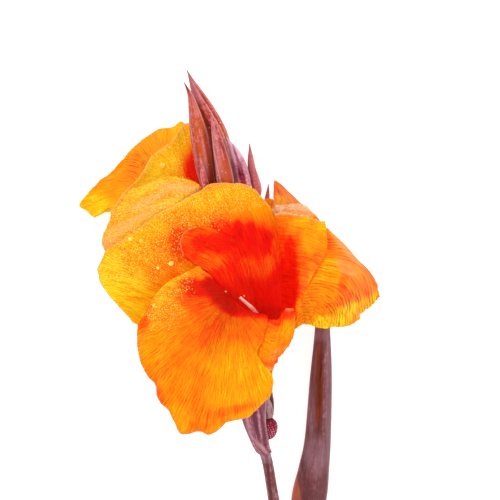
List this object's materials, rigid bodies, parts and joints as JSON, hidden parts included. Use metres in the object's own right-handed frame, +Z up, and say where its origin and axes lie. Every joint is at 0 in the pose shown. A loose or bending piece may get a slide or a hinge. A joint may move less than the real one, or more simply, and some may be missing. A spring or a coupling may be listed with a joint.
{
  "type": "canna lily flowering stem",
  "caption": "Cut flowering stem of canna lily lying on its back: orange blooms with red throats, mauve buds, a bract and a long sheath; a cut-flower prop for a table, vase or bed",
  "frame": {"origin": "middle of the bounding box, on the surface that the stem lies on", "axes": "+Z up from that surface, +Y along the stem towards the bud tips, +X to the right seen from above"},
  "size_m": [0.1504, 0.288, 0.0928],
  "materials": {
    "petal": "soft satin petal, orange with yellow rims and a red throat",
    "style": "satin",
    "calyx": "satin",
    "bud": "matte with a pale bloom",
    "ovary": "matte, warty",
    "bract": "matte with a pale bloom",
    "stem": "satin",
    "sheath": "matte with a pale bloom"
  },
  "bodies": {
    "root": {"bract": "bract", "bud_1": "bud", "bud_2": "bud", "bud_3": "bud", "bud_4": "bud", "bud_5": "bud", "bud_6": "bud", "bud_7": "bud", "front_banner": "petal", "front_lip": "petal", "front_lip_lobe": "petal", "front_ovary": "ovary", "front_right_wing": "petal", "front_sepal_lower": "calyx", "front_sepal_right": "calyx", "front_sepal_upper": "calyx", "front_stamen_blade": "petal", "front_style": "style", "front_true_petal_1": "calyx", "front_true_petal_2": "calyx", "front_true_petal_3": "calyx", "front_tube": "calyx", "left_banner": "petal", "left_lip": "petal", "left_outer_blade": "petal", "left_ovary": "ovary", "left_sepal_lower": "calyx", "left_sepal_right": "calyx", "left_sepal_upper": "calyx", "left_true_petal_1": "calyx", "left_true_petal_2": "calyx", "left_true_petal_3": "calyx", "left_tube": "calyx", "right_drooping_blade": "petal", "right_middle_blade": "petal", "right_ovary": "ovary", "right_sepal_lower": "calyx", "right_sepal_right": "calyx", "right_sepal_upper": "calyx", "right_true_petal_1": "calyx", "right_true_petal_2": "calyx", "right_true_petal_3": "calyx", "right_tube": "calyx", "right_upper_blade": "petal", "sheath": "sheath", "stem": "stem"}
  },
  "joints": []
}
